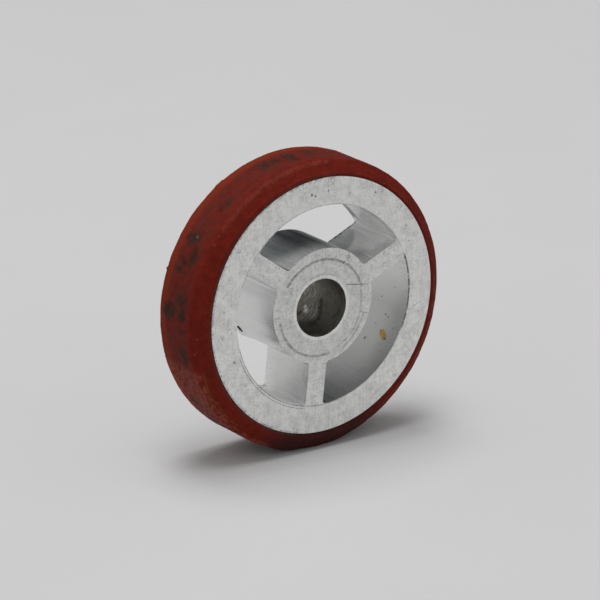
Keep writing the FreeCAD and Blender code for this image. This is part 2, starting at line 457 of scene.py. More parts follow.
# Scratch: a thin straight line between two points.
SCRATCH_CORE = 0.2  # share of a scratch's half width that is full
scratch, ins, out = add_group("scratch", Vector="Vector", Start="Vector", End="Vector", Width="Float")
along = combine_vectors(scratch, "SUBTRACT", ins["End"], ins["Start"])
offset = combine_vectors(scratch, "SUBTRACT", ins["Vector"], ins["Start"])
reached = vector_value(scratch, "DOT_PRODUCT", offset, along)
whole = vector_value(scratch, "DOT_PRODUCT", along, along)
share = place_node(scratch, "Clamp", {"Value": combine(scratch, "DIVIDE", reached, whole)}).outputs[0]
nearest = place_node(scratch, "VectorMath", {0: along, "Scale": share}, operation="SCALE").outputs["Vector"]
away = vector_value(scratch, "DISTANCE", offset, nearest)
scratch.links.new(fade(scratch, combine(scratch, "DIVIDE", away, ins["Width"]), 1, SCRATCH_CORE), out)


def mask(tree, group, **wires):
    """Places one of the mask groups in a material."""
    return place_node(tree, "Group", wires, node_tree=group).outputs["Mask"]


def grains(tree, vector, size, low, high, detail=4.0, stretch=(1, 1, 1)):
    """A grain mask with patches of a given size."""
    scale = [factor / size for factor in stretch]
    return mask(tree, grain, Vector=vector, Stretch=scale, Detail=detail, Low=low, High=high)


def spots(tree, vector, marks, core):
    """A mask of several round marks, each given by its place and radius in mm."""
    total = None
    for x, y, z, size in marks:
        centre = Vector((x, y, z)) * MM
        mark = mask(tree, spot, Vector=vector, Centre=centre, Size=[size * MM] * 3, Core=core)
        total = mark if total is None else combine(tree, "MAXIMUM", total, mark)
    return total


def arc(tree, vector, radius, width, first, last):
    """A ring mask from one angle to another."""
    return mask(
        tree,
        ring,
        Vector=vector,
        Radius=radius,
        Width=width,
        Direction=round_direction((first + last) / 2),
        Reach=math.cos(math.radians((last - first) / 2)),
    )


# Sockets of the Mix node when it mixes colours.
MIX_AMOUNT = 0
MIX_BELOW = 6
MIX_ABOVE = 7
MIX_RESULT = 2


def tint(tree, below, amount, colour, strength=1.0):
    """Lays a colour over another one by a mask, at all or part of its strength."""
    if strength < 1:
        amount = weaken(tree, amount, strength)
    wires = {MIX_AMOUNT: amount, MIX_BELOW: below, MIX_ABOVE: colour}
    return place_node(tree, "Mix", wires, data_type="RGBA").outputs[MIX_RESULT]


NOISE_MIDDLE = (0.5, 0.5, 0.5)


def tear(tree, vector, size, depth):
    """Shifts coordinates unevenly, so that marks on them get ragged edges."""
    shift = place_node(tree, "TexNoise", {"Vector": vector, "Scale": 1 / size, "Detail": 5}).outputs["Color"]
    shift = combine_vectors(tree, "SUBTRACT", shift, NOISE_MIDDLE)
    return combine_vectors(tree, "ADD", vector, combine_vectors(tree, "MULTIPLY", shift, [depth] * 3))


def add_finish(name):
    """Starts a material, and gives its tree, its shader and the piece's own coordinates."""
    material = bpy.data.materials.new(name)
    material.use_nodes = True
    tree = material.node_tree
    place = tree.nodes.new("ShaderNodeTexCoord").outputs["Object"]
    return material, tree, tree.nodes["Principled BSDF"], place


def wire(tree, shader, **sockets):
    """Joins outputs to the shader's sockets, or sets plain values on them."""
    for socket, value in sockets.items():
        target = shader.inputs[socket.replace("_", " ")]
        if isinstance(value, bpy.types.NodeSocket):
            tree.links.new(value, target)
        else:
            target.default_value = value


def bump(tree, height, distance, strength=1.0):
    """A fine relief of a given depth."""
    wires = {"Height": height, "Distance": distance, "Strength": strength}
    return place_node(tree, "Bump", wires).outputs["Normal"]


# Faced aluminium: pale, matt and mottled, darker on the boss, brighter where a washer has rubbed it.
RIM_METAL = (0.86, 0.86, 0.845, 1)
SPOKE_METAL = (0.84, 0.843, 0.825, 1)
BOSS_METAL = (0.76, 0.765, 0.735, 1)
BRIGHT_METAL = (0.95, 0.95, 0.935, 1)
DULL_METAL = (0.52, 0.525, 0.52, 1)
# Dark colour of dirt, also laid on as painted shade along edges.
DARK_DIRT_AND_SHADE = (0.1, 0.096, 0.088, 1)
# How far out the boss's tone ends, the spokes' starts and ends, and the rim's starts.
BOSS_END = 10.5 * MM
SPOKE_START = 13.5 * MM
SPOKE_END = 20.2 * MM
RIM_START = 21.2 * MM
HAIRLINE_STRETCHES = ((0.035, 1, 1), (1, 1, 0.035))
RUBBED_RADIUS = 6.25 * MM
SCORE_DIRT = 0.38 * MM
NICKED_RADIUS = WINDOW_OUTER_RADIUS + 0.12 * MM
# Smudges on the face: (x, z, radius) in mm.
SMUDGES = ((-19.7, 15.4, 0.9), (14.5, 22.0, 1.3), (19.0, 17.8, 1.2), (2.0, 25.7, 1.8), (-20.8, -7.3, 0.5),
           (-18.2, -12.6, 0.6), (-7.1, 5.35, 0.6), (-7.3, 4.4, 0.6), (-5.8, 4.9, 0.5), (-7.4, -1.5, 0.6),
           (9.6, 8.2, 0.9), (15.3, 8.6, 0.7), (-23.6, -1.7, 0.8), (20.6, 13.4, 0.9), (6.6, 9.4, 0.6))
# Scratches on the face: from x, z to x, z and the width, in mm.
SCRATCHES = ((6.3, 3.7, 9.2, 3.2, 0.2), (9.0, 3.2, 11.4, 2.85, 0.13), (5.83, 9.94, 6.69, 8.38, 0.11),
             (6.56, 9.87, 7.42, 8.35, 0.11), (9.6, -2.6, 11.6, -3.4, 0.1), (22.6, -4.0, 24.6, -3.3, 0.1),
             (-23.4, 6.4, -21.9, 7.9, 0.1), (12.2, -21.6, 15.2, -19.4, 0.09))
faced, tree, shader, place = add_finish("faced_aluminium")
centred = combine_vectors(tree, "SUBTRACT", place, SECTION_CENTRE)
off_wall = combine_vectors(tree, "SUBTRACT", place, RIM_WALL_CENTRE)
distance = length_of(tree, combine_vectors(tree, "MULTIPLY", centred, ACROSS_BORE))
colour = tint(tree, BOSS_METAL, fade(tree, distance, BOSS_END, SPOKE_START), SPOKE_METAL)
colour = tint(tree, colour, fade(tree, distance, SPOKE_END, RIM_START), RIM_METAL)
mottle = grains(tree, place, size=1.7 * MM, low=0.36, high=0.72)
colour = tint(tree, colour, mottle, DULL_METAL, strength=0.42)
inside = fade(tree, distance, RIM_START, SPOKE_END)
blotches = both(tree, grains(tree, place, size=0.9 * MM, low=0.42, high=0.62, detail=3), inside)
colour = tint(tree, colour, blotches, DULL_METAL, strength=0.32)
sawn = grains(tree, place, size=0.3 * MM, low=0.45, high=0.75, detail=5, stretch=(1.0, 1.0, 0.22))
colour = tint(tree, colour, sawn, DULL_METAL, strength=0.42)
speckle = grains(tree, place, size=0.45 * MM, low=0.58, high=0.72, detail=3)
colour = tint(tree, colour, speckle, DARK_DIRT_AND_SHADE, strength=0.4)
bright = grains(tree, place, size=0.5 * MM, low=0.6, high=0.72, detail=3, stretch=(0.4, 1.0, 1.0))
colour = tint(tree, colour, bright, BRIGHT_METAL, strength=0.6)
for direction in HAIRLINE_STRETCHES:
    hairlines = grains(tree, place, size=0.2 * MM, low=0.64, high=0.7, detail=1, stretch=direction)
    colour = tint(tree, colour, hairlines, DULL_METAL, strength=0.35)
rubbed = arc(tree, place, RUBBED_RADIUS, width=0.6 * MM, first=-180, last=180)
rubbed = both(tree, rubbed, grains(tree, place, size=0.7 * MM, low=0.25, high=0.55, detail=3))
colour = tint(tree, colour, rubbed, BRIGHT_METAL, strength=0.55)
broken = span(tree, grains(tree, place, size=0.9 * MM, low=0.3, high=0.6, detail=3), low=0.45, high=1.0)
for radius, first, last, darkness in SCORED_ARCS:
    mark = both(tree, arc(tree, place, radius * MM, SCORE_DIRT, first, last), broken)
    colour = tint(tree, colour, mark, DARK_DIRT_AND_SHADE, darkness)
for x0, z0, x1, z1, width in SCRATCHES:
    ends = [Vector((x, -HALF_WIDTH / MM, z)) * MM for x, z in ((x0, z0), (x1, z1))]
    mark = mask(tree, scratch, Vector=place, Start=ends[0], End=ends[1], Width=width * MM)
    colour = tint(tree, colour, both(tree, mark, broken), DARK_DIRT_AND_SHADE, strength=0.7)
# Faint lines, one near the bore and the rest painted shade along the rim's inner edges: (vector, radius
# and half width in mm, from and to in degrees, darkness).
FAINT_LINES = ((place, 6.95, 0.12, 58, 128, 0.4), (off_wall, 20.85, 0.13, 252, 276, 0.5),
               (off_wall, 20.85, 0.13, 12, 36, 0.45), (off_wall, 20.85, 0.12, 130, 158, 0.35),
               (off_wall, 20.8, 0.13, 62, 128, 0.5), (off_wall, 20.85, 0.12, -164, -104, 0.6),
               (off_wall, 21.4, 0.13, -160, -104, 0.6), (off_wall, 20.9, 0.12, -100, -22, 0.35))
for vector, radius, half_width, first, last, darkness in FAINT_LINES:
    mark = both(tree, arc(tree, vector, radius * MM, half_width * MM, first, last), broken)
    colour = tint(tree, colour, mark, DARK_DIRT_AND_SHADE, darkness)
fine = grains(tree, place, size=0.35 * MM, low=0.42, high=0.62, detail=3)
smudges = spots(tree, place, [(x, -HALF_WIDTH / MM, z, size) for x, z, size in SMUDGES], core=0.1)
colour = tint(tree, colour, both(tree, smudges, fine), DARK_DIRT_AND_SHADE, strength=0.6)
PIT_DIRT = 1.5  # times a pit's radius
pit_marks = [(x, -HALF_WIDTH / MM, z, PIT_DIRT * radius) for x, z, radius in PITS]
colour = tint(tree, colour, spots(tree, place, pit_marks, core=0.3), DARK_DIRT_AND_SHADE, strength=0.75)
nicked_edge = arc(tree, off_wall, NICKED_RADIUS, width=0.34 * MM, first=-22, last=18)
gaps = grains(tree, place, size=0.9 * MM, low=0.32, high=0.5, detail=3)
colour = tint(tree, colour, both(tree, nicked_edge, gaps), DARK_DIRT_AND_SHADE, strength=0.95)
# Dirt and painted shade along the core's outer edge beside the tyre, from the top round the left.
ragged = grains(tree, place, size=0.7 * MM, low=0.38, high=0.6, detail=5)
tyre_edge = arc(tree, centred, CORE_RADIUS, width=0.55 * MM, first=84, last=256)
colour = tint(tree, colour, both(tree, tyre_edge, ragged), DARK_DIRT_AND_SHADE, strength=0.5)
roughness = span(tree, mottle, low=0.42, high=0.54)
roughness = combine(tree, "SUBTRACT", roughness, weaken(tree, rubbed, strength=0.1))
relief = combine(tree, "ADD", weaken(tree, sawn, strength=0.6), weaken(tree, speckle, strength=-0.8))
normal = bump(tree, relief, distance=0.03 * MM, strength=0.6)
wire(tree, shader, Base_Color=colour, Metallic=1.0, Roughness=roughness, Normal=normal)
core.data.materials.append(faced)

# Drawn aluminium: the windows' walls keep the die's faint lines along the bore, with specks and one stain.
DRAWN_METAL = (0.77, 0.775, 0.765, 1)
DRAWN_SHADE = (0.56, 0.57, 0.58, 1)
SIDE_SHADE = (0.55, 0.555, 0.54, 1)
DARKENED_METAL = (0.2, 0.222, 0.226, 1)
MATT_METAL = (0.97, 0.97, 0.955, 1)
OCHRE_STAIN = (0.52, 0.33, 0.075, 1)
BLACK_MARK = (0.012, 0.012, 0.011, 1)
# Painted shade low on the right, walls darkened on top, etched matt, rubbed smooth, painted shade in a
# low corner and a painted dark reflection on a flank's far part: (x, y, z, radius) in mm.
SHADED_SIDE = ((15.0, 0.0, -12.0, 20.0),)
DARKENED_TOP = ((-2.5, 3.0, 11.5, 9.0), (4.5, 2.0, 11.0, 8.0))
MATT_CORNERS = ((-8.0, 0.0, -17.5, 9.5), (17.0, 1.0, 13.5, 8.5))
SMOOTH_SIDES = ((-12.0, 0.0, -9.0, 17.0), (19.0, 0.0, -8.0, 13.0))
SHADED_CORNER = ((-2.0, -6.5, -17.5, 8.5),)
FLANK_DARK_REFLECTION = ((10.8, 7.3, 7.4, 7.1),)
# Specks, ochre stain and black spots on the walls: (x, y, z, radius) in mm.
WALL_SPECKS = ((20.82, 1.13, -3.98, 0.34), (21.24, -2.75, -0.96, 0.26), (19.96, -1.37, -6.89, 0.32),
               (19.86, -2.49, -7.18, 0.3), (18.93, 0.64, -9.21, 0.26), (19.15, -5.21, -8.77, 0.28),
               (17.0, 1.65, -12.24, 0.42), (20.6, -5.0, -4.4, 0.2), (21.1, -5.6, -1.7, 0.22),
               (18.45, -1.9, -9.95, 0.35), (17.9, -4.1, -11.0, 0.4), (-6.0, 5.2, -19.27, 0.6))
WALL_STAINS = ((18.35, -2.5, -10.2, 0.95), (18.1, -3.5, -10.7, 0.9))
BLACK_SPOTS = ((-10.38, 6.8, -6.05, 0.45), (-10.25, 6.5, -6.35, 0.5), (-10.1, 6.2, -6.65, 0.42))
# Stretches of the walls' far edges with painted shade: (x, y, z, radius) in mm, where the shade starts
# and is full, and how broken it is.
FAR_EDGE_SHADE = (((15.2, 5.5, 15.0, 4.2), 4.95, 5.3, 0.2), ((13.5, 7.3, 8.9, 6.0), 6.6, 6.85, 0.42))
drawn, tree, shader, place = add_finish("drawn_aluminium")
lined = span(tree, spots(tree, place, SMOOTH_SIDES, core=0.8), low=1.0, high=0.2)
die_lines = grains(tree, place, size=0.25 * MM, low=0.35, high=0.7, detail=3, stretch=(1, 0.02, 1))
die_lines = both(tree, die_lines, lined)
bands = grains(tree, place, size=1.4 * MM, low=0.35, high=0.7, detail=3, stretch=(1, 0.03, 1))
bands = both(tree, bands, lined)
matt = spots(tree, place, MATT_CORNERS, core=0.7)
# Painted shade on the lower right walls.
colour = tint(tree, DRAWN_METAL, spots(tree, place, SHADED_SIDE, core=0.5), SIDE_SHADE)
colour = tint(tree, colour, spots(tree, place, DARKENED_TOP, core=0.5), DARKENED_METAL, strength=0.95)
colour = tint(tree, colour, matt, MATT_METAL)
# Painted shade in a low corner.
colour = tint(tree, colour, spots(tree, place, SHADED_CORNER, core=0.1), DRAWN_SHADE, strength=0.8)
# Painted dark reflection on the far part of the upper right spoke's flank.
colour = tint(tree, colour, spots(tree, place, FLANK_DARK_REFLECTION, core=0.85), DARKENED_METAL, strength=0.6)
colour = tint(tree, colour, die_lines, DRAWN_SHADE, strength=0.35)
colour = tint(tree, colour, bands, DRAWN_SHADE, strength=0.3)
dust = grains(tree, place, size=0.4 * MM, low=0.64, high=0.74, detail=3)
colour = tint(tree, colour, dust, DARK_DIRT_AND_SHADE, strength=0.25)
torn = tear(tree, place, size=0.6 * MM, depth=0.8 * MM)
colour = tint(tree, colour, spots(tree, torn, WALL_STAINS, core=0.6), OCHRE_STAIN, strength=0.95)
colour = tint(tree, colour, spots(tree, torn, WALL_SPECKS, core=0.4), DARK_DIRT_AND_SHADE, strength=0.85)
colour = tint(tree, colour, spots(tree, place, BLACK_SPOTS, core=0.7), BLACK_MARK)
GAP_SOFTNESS = 0.12
across = place_node(tree, "SeparateXYZ", {0: place}).outputs["Y"]
# Painted shade along the walls' far edges.
for stretch, empty, full, gaps in FAR_EDGE_SHADE:
    patchy = grains(tree, place, size=0.9 * MM, low=gaps, high=gaps + GAP_SOFTNESS, detail=3)
    at_edge = fade(tree, across, empty * MM, full * MM)
    far_edge_shade = both(tree, at_edge, spots(tree, place, [stretch], core=0.8))
    colour = tint(tree, colour, both(tree, far_edge_shade, patchy), DARK_DIRT_AND_SHADE, strength=0.9)
roughness = span(tree, bands, low=0.26, high=0.36)
metallic = span(tree, matt, low=1.0, high=0.15)
relief = combine(tree, "ADD", weaken(tree, die_lines, strength=0.5), bands)
normal = bump(tree, relief, distance=0.008 * MM, strength=0.6)
wire(tree, shader, Base_Color=colour, Metallic=metallic, Roughness=roughness, Normal=normal)
core.data.materials.append(drawn)

# Turned bore: smeared with old grease and worn bright in streaks.
GREASE = (0.125, 0.113, 0.09, 1)
WORN_BORE = (0.48, 0.475, 0.435, 1)
BLACK_GREASE = (0.02, 0.019, 0.016, 1)
# Worn and dirty places in the bore: (x, y, z, radius) in mm.
WORN_SIDE = ((5.7, 5.0, -1.4, 4.8), (4.0, 2.2, -4.5, 3.2))
BRIGHT_SPOT = ((4.0, 3.9, -4.45, 0.9), (4.5, 4.7, -4.0, 0.7))
DARK_SPOTS = ((3.2, 4.9, -5.1, 1.0), (5.7, 0.9, -1.9, 0.9), (5.2, 0.3, -3.0, 1.1), (4.6, -0.3, -3.9, 1.0),
              (3.9, -0.9, -4.6, 1.1), (2.2, -1.0, -5.6, 1.8))
turned, tree, shader, place = add_finish("greasy_bore")
smears = grains(tree, place, size=1.6 * MM, low=0.42, high=0.7, detail=5, stretch=(1, 0.6, 1))
colour = tint(tree, GREASE, smears, WORN_BORE, strength=0.16)
rubs = grains(tree, place, size=0.55 * MM, low=0.46, high=0.68, detail=5, stretch=(0.4, 1.4, 0.4))
worn = both(tree, spots(tree, place, WORN_SIDE, core=0.2), span(tree, rubs, low=0.08, high=0.88))
colour = tint(tree, colour, worn, WORN_BORE)
blots = grains(tree, place, size=1.1 * MM, low=0.5, high=0.66, detail=4, stretch=(0.5, 1.2, 0.5))
colour = tint(tree, colour, blots, BLACK_GREASE, strength=0.45)
torn = tear(tree, place, size=0.9 * MM, depth=2.2 * MM)
colour = tint(tree, colour, spots(tree, torn, DARK_SPOTS, core=0.2), BLACK_GREASE, strength=0.8)
colour = tint(tree, colour, spots(tree, place, BRIGHT_SPOT, core=0.0), BRIGHT_METAL, strength=0.6)
roughness = span(tree, smears, low=0.4, high=0.6)
normal = bump(tree, smears, distance=0.06 * MM, strength=0.7)
wire(tree, shader, Base_Color=colour, Metallic=0.8, Roughness=roughness, Normal=normal)
core.data.materials.append(turned)

# Bond film: what shows of the adhesive on the core's outside, down in the groove beside the tyre.
FILM_DARK = (0.12, 0.075, 0.068, 1)
FILM_PALE = (0.3, 0.26, 0.24, 1)
film, tree, shader, place = add_finish("bond_film")
flakes = grains(tree, place, size=0.6 * MM, low=0.45, high=0.7)
colour = tint(tree, FILM_DARK, flakes, FILM_PALE)
wire(tree, shader, Base_Color=colour, Roughness=0.7, Normal=bump(tree, flakes, distance=0.08 * MM))
core.data.materials.append(film)

# How much of a face's normal lies along the bore at most, on an upright wall and on one that a burr has bent.
UPRIGHT = 0.3
BENT = 0.6
WALL_ROOM = 1.0 * MM  # how far past the windows' two radii a wall's faces lie at most


def is_wall(mesh, face):
    """Whether a face is part of the windows' walls."""
    around = from_axis(face.center - SECTION_CENTRE)
    in_window = WINDOW_INNER_RADIUS - WALL_ROOM < around < WINDOW_OUTER_RADIUS + WALL_ROOM
    return abs(face.normal.y) < BENT and in_window


def is_bore_wall(mesh, face):
    """Whether a face is part of the bore's wall."""
    return abs(face.normal.y) < UPRIGHT and from_axis(face.center) < BORE_RADIUS + SAME


def is_outside(mesh, face):
    """Whether a face is on the core's outside, against the tyre."""
    around = from_axis(face.center - SECTION_CENTRE)
    return abs(face.normal.y) < UPRIGHT and around > CORE_RADIUS - EDGE_ROUNDING


for slot, belongs in enumerate((is_wall, is_bore_wall, is_outside), start=1):
    select_in_mesh(core, "FACE", belongs)
    core.active_material_index = slot
    bpy.ops.object.material_slot_assign()
    bpy.ops.object.mode_set(mode="OBJECT")

# The broad faces give their direction to the rounded edges between them.
apply_modifier(core, "WEIGHTED_NORMAL", keep_sharp=True)

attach(core, "root")
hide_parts("wheel_core")

# Tyre: red rubber, moulded and bonded round the core, with bevelled shoulders and a flat tread.
# Its tread is worn uneven and stained dark in patches, its front shoulder is creased at the lower left,
# and its lips have shrunk a little below the core's faces.
TREAD_RADIUS = 30.0 * MM
BEVEL_START_RADIUS = 27.5 * MM
SHOULDER_DEPTH = 1.9 * MM
TREAD_EDGE_BEVEL = 0.4 * MM
TREAD_EDGE_ROOM = 0.45 * MM  # strip of the tread that the edge's rounding lies in
TREAD_HALF = HALF_WIDTH - SHOULDER_DEPTH
LIP_DEPTH = 0.2 * MM
LIP_STEPS = ((0.0, 0.0), (0.35, 0.62), (0.7, 0.93), (1.0, 1.0))  # shares of the land's width and lip's depth
TYRE_SIDES = 720
SHOULDER_ROWS = 11
TREAD_ROWS = 36
EDGE_STRIP = 0.84  # share of the shoulder that lies clear of the tread edge's rounding

land = BEVEL_START_RADIUS - CORE_RADIUS
lip_rings = [
    (CORE_RADIUS + land * share, -HALF_WIDTH + LIP_DEPTH * (1 - depth)) for share, depth in LIP_STEPS
]
shoulder_end = (BEVEL_START_RADIUS + EDGE_STRIP * (TREAD_RADIUS - BEVEL_START_RADIUS),
                -HALF_WIDTH + EDGE_STRIP * SHOULDER_DEPTH)
tread_inset = TREAD_HALF - TREAD_EDGE_ROOM
# The profile, from the front lip to the back one: (radius, place along the bore, rows up to there).
profile = [(ring_radius, y, 1) for ring_radius, y in lip_rings[1:]]
profile += [(*shoulder_end, SHOULDER_ROWS), (TREAD_RADIUS, -TREAD_HALF, 1), (TREAD_RADIUS, -tread_inset, 1)]
profile += [(TREAD_RADIUS, tread_inset, TREAD_ROWS), (TREAD_RADIUS, TREAD_HALF, 1)]
profile += [(shoulder_end[0], -shoulder_end[1], 1), (BEVEL_START_RADIUS, HALF_WIDTH, SHOULDER_ROWS)]
profile += [(ring_radius, -y, 1) for ring_radius, y in reversed(lip_rings[:-1])]

bpy.ops.object.select_all(action="DESELECT")
bpy.ops.mesh.primitive_circle_add(
    vertices=TYRE_SIDES,
    radius=CORE_RADIUS,
    fill_type="NOTHING",
    location=(0, lip_rings[0][1], 0),
    rotation=ALONG_BORE,
)
tyre = named("tyre_rubber")
work_on(tyre)
bpy.ops.object.mode_set(mode="EDIT")
bpy.ops.mesh.select_mode(type="EDGE")
bpy.ops.mesh.select_all(action="SELECT")
radius, y = lip_rings[0]
for end_radius, end_y, steps in profile:
    radius_step = (end_radius - radius) / steps
    y_step = (end_y - y) / steps
    for step in range(steps):
        bpy.ops.mesh.extrude_edges_move(TRANSFORM_OT_translate={"value": (0, y_step, 0)})
        grow = (radius + radius_step) / radius
        bpy.ops.transform.resize(value=(grow, 1, grow), center_override=(0, 0, 0))
        radius += radius_step
        y += y_step
bpy.ops.object.mode_set(mode="OBJECT")


def is_seat_end(mesh, edge):
    """Whether an edge lies round the tyre's seat on the core."""
    return all(abs(from_axis(point) - CORE_RADIUS) < SAME for point in edge_points(mesh, edge))


select_in_mesh(tyre, "EDGE", is_seat_end)
bpy.ops.mesh.bridge_edge_loops()
bpy.ops.mesh.select_all(action="SELECT")
bpy.ops.mesh.normals_make_consistent(inside=False)
bpy.ops.object.mode_set(mode="OBJECT")


def is_tread_edge(mesh, edge):
    """Whether an edge lies round the tyre where a shoulder meets the tread."""
    return all(
        abs(from_axis(point) - TREAD_RADIUS) < SAME and abs(abs(point.y) - TREAD_HALF) < SAME
        for point in edge_points(mesh, edge)
    )


select_in_mesh(tyre, "EDGE", is_tread_edge)
bpy.ops.mesh.bevel(offset=TREAD_EDGE_BEVEL, segments=4, affect="EDGES")
bpy.ops.object.mode_set(mode="OBJECT")

# The lips follow the core's section, which lies off the tread's own middle.
for (ring_radius, y), (share, depth) in zip(lip_rings[:-1], LIP_STEPS):
    select_in_mesh(tyre, "VERT", lambda mesh, vertex: abs(from_axis(vertex.co) - ring_radius) < SAME)
    bpy.ops.transform.translate(value=SECTION_CENTRE * (1 - share))
    bpy.ops.object.mode_set(mode="OBJECT")

# The outside is worn uneven, in broad waves and in a fine grain: (name, size, depth).
WEAR_START_RADIUS = 27.8 * MM
WEAR = (("wear_waves", 3.5 * MM, 0.22 * MM), ("wear_grain", 0.8 * MM, 0.07 * MM))
WEAR_LEVEL = 0.6  # share of the wear that goes inwards
worn_places = [vertex.index for vertex in tyre.data.vertices if from_axis(vertex.co) > WEAR_START_RADIUS]
worn_outside = tyre.vertex_groups.new(name="worn_outside")
worn_outside.add(worn_places, 1, "REPLACE")
for name, size, depth in WEAR:
    cloud = bpy.data.textures.new(name, "CLOUDS")
    cloud.noise_scale = size
    cloud.noise_depth = 3
    apply_modifier(
        tyre,
        "DISPLACE",
        texture=cloud,
        texture_coords="LOCAL",
        vertex_group=worn_outside.name,
        strength=depth,
        mid_level=WEAR_LEVEL,
    )


def on_shoulder(degrees, share):
    """A point on the front shoulder, at a share of its width."""
    out = BEVEL_START_RADIUS + share * (TREAD_RADIUS - BEVEL_START_RADIUS)
    return round_direction(degrees) * out + Vector((0, -HALF_WIDTH + share * SHOULDER_DEPTH, 0))


def on_tread(degrees, y):
    """A point on the tread, at a place across it in mm."""
    return round_direction(degrees) * TREAD_RADIUS + Vector((0, y * MM, 0))


# Bumps on the front shoulder: (degrees, share of its width, mm out, mm reach).
SHOULDER_BUMPS = ((141.1, 0.86, 0.2, 0.5), (144.8, 0.86, 0.2, 0.5), (188.7, 0.8, 0.18, 0.5),
                  (182.5, 0.53, 0.15, 0.45))
for degrees, share, height, reach in SHOULDER_BUMPS:
    pull(tyre, on_shoulder(degrees, share), round_direction(degrees) * height * MM, reach * MM)

# Lumps, a spur and dents on the tread: (degrees, mm across, mm out, mm reach).
TREAD_LUMPS = ((255.5, -3.5, 0.42, 5.0), (281.0, -3.5, 0.18, 5.0), (122.6, 4.6, 0.3, 1.7),
               (120.6, 4.9, 0.22, 0.6), (160.0, 5.1, 0.42, 0.45), (145.3, 0.5, -0.25, 1.1),
               (175.3, 2.4, -0.2, 1.2), (190.8, -2.4, -0.2, 1.1), (95.0, -0.3, -0.2, 1.2),
               (105.0, 1.2, -0.18, 1.3))
for degrees, y, height, reach in TREAD_LUMPS:
    pull(tyre, on_tread(degrees, y), round_direction(degrees) * height * MM, reach * MM)

# Creases along the lower left of the front shoulder: (degrees, share of the shoulder) from end to end.
CREASES = (((197, 0.5), (203, 0.6), (210, 0.66), (213, 0.52)), ((212, 0.5), (219, 0.6), (227, 0.52)),
           ((203, 0.78), (212, 0.84), (222, 0.78)))
CREASE_STEP = 1.2
CREASE_DEPTH = 0.16 * MM
CREASE_REACH = 0.36 * MM
for crease in CREASES:
    for (first, first_share), (last, last_share) in zip(crease, crease[1:]):
        steps = round((last - first) / CREASE_STEP)
        for step in range(steps):
            part = step / steps
            degrees = first + (last - first) * part
            inward = -round_direction(degrees) + Vector((0, 1, 0))
            point = on_shoulder(degrees, first_share + (last_share - first_share) * part)
            pull(tyre, point, inward.normalized() * CREASE_DEPTH, CREASE_REACH)
work_on(tyre)
bpy.ops.object.shade_smooth_by_angle(angle=math.radians(50))

# Red rubber: dull brick red, mottled, with dark stains pressed into the tread, dust and painted sheen low on
# the left, and painted highlights along the tread's front edge and on one stain.
BRICK = (0.152, 0.0125, 0.0062, 1)
DEEP_RED = (0.1, 0.0092, 0.0052, 1)
ORANGE_RED = (0.2, 0.027, 0.0095, 1)
BROWN_RED = (0.032, 0.013, 0.011, 1)
GRIME = (0.083, 0.0235, 0.017, 1)
STAIN_DARK = (0.027, 0.013, 0.0085, 1)
STAIN_GREY = (0.029, 0.022, 0.018, 1)
PALE_GLINT = (0.12, 0.15, 0.14, 1)
PINK = (0.26, 0.07, 0.05, 1)
OCHRE = (0.22, 0.095, 0.035, 1)
DUST_AND_SHEEN = (0.32, 0.088, 0.06, 1)
LIP_DIRT_AND_SHADE = (0.09, 0.065, 0.058, 1)
# Where a mask starts and is full: the tread by its radius, the orange edge and the painted highlight on the
# ridge along the bore, the grime by its distance from the middle of its strip, and the stains by their
# strength.
TREAD_FADE = (29.2 * MM, 29.8 * MM)
ORANGE_FADE = (2.0 * MM, 4.0 * MM)
RIDGE_HIGHLIGHT_FADE = (-4.8 * MM, -5.4 * MM)
GRIME_FADE = (4.4 * MM, 2.6 * MM)
GRIME_SHIFT = 0.3 * MM  # how far forward the grimy strip's middle lies
STAIN_FADE = (0.06, 0.95)
STAIN_SPREAD = 1.4  # times a stain's half length and half width
# The darker low side: (x, y, z, radius) in mm. The painted glint on the tread: (degrees, mm across).
LOW_SIDE = ((0.8, -5.0, -30.0, 19.0),)
GLINT_PLACE = (144.8, 0.2)
GLINT_SIZE = Vector((0.5, 0.8, 0.5)) * MM
# Stains on the tread: (degrees, mm across, mm half length, mm half width, strength).
STAINS = ((86.5, 0.3, 1.5, 2.8, 0.8), (95.0, -0.1, 1.5, 2.8, 1.0), (101.0, 0.6, 1.3, 2.6, 0.8),
          (106.0, 1.0, 1.9, 3.0, 0.95), (128.5, -1.6, 2.6, 1.6, 0.75), (145.5, 0.6, 2.0, 2.5, 1.1),
          (152.5, -1.6, 2.6, 1.6, 1.0), (154.8, 0.6, 1.2, 2.2, 0.8), (158.0, 1.2, 1.4, 2.6, 0.75),
          (169.0, -1.7, 2.0, 2.6, 0.95), (174.5, -2.4, 2.2, 1.6, 1.0), (181.5, -2.5, 1.2, 1.3, 0.85),
          (175.3, 2.4, 2.7, 1.7, 1.1), (174.3, 0.6, 2.0, 2.0, 0.85), (191.0, -2.4, 2.2, 2.2, 1.0),
          (215.0, 1.0, 2.2, 2.1, 0.75), (243.0, -1.0, 1.6, 2.2, 0.7), (250.0, 1.4, 1.0, 1.0, 0.6),
          (281.0, 0.8, 3.0, 1.6, 0.9), (287.0, -1.2, 1.0, 1.4, 0.7), (304.0, -1.6, 1.2, 1.0, 0.7),
          (322.0, 0.6, 2.2, 2.6, 0.9), (327.0, 2.2, 1.2, 1.2, 0.7), (333.0, -0.6, 1.0, 1.8, 0.8),
          (352.0, -2.0, 1.0, 0.9, 0.7), (361.0, 1.0, 3.0, 1.4, 0.95), (366.0, -0.4, 1.6, 2.0, 0.8),
          (388.0, -1.8, 0.9, 0.9, 0.7), (396.0, 0.8, 1.4, 2.2, 0.85), (402.0, -0.2, 2.4, 1.2, 0.8),
          (418.0, 1.6, 1.2, 1.0, 0.7))
rubber, tree, shader, place = add_finish("red_rubber")
centred = combine_vectors(tree, "SUBTRACT", place, SECTION_CENTRE)
distance = length_of(tree, combine_vectors(tree, "MULTIPLY", place, ACROSS_BORE))
across = place_node(tree, "SeparateXYZ", {0: place}).outputs["Y"]
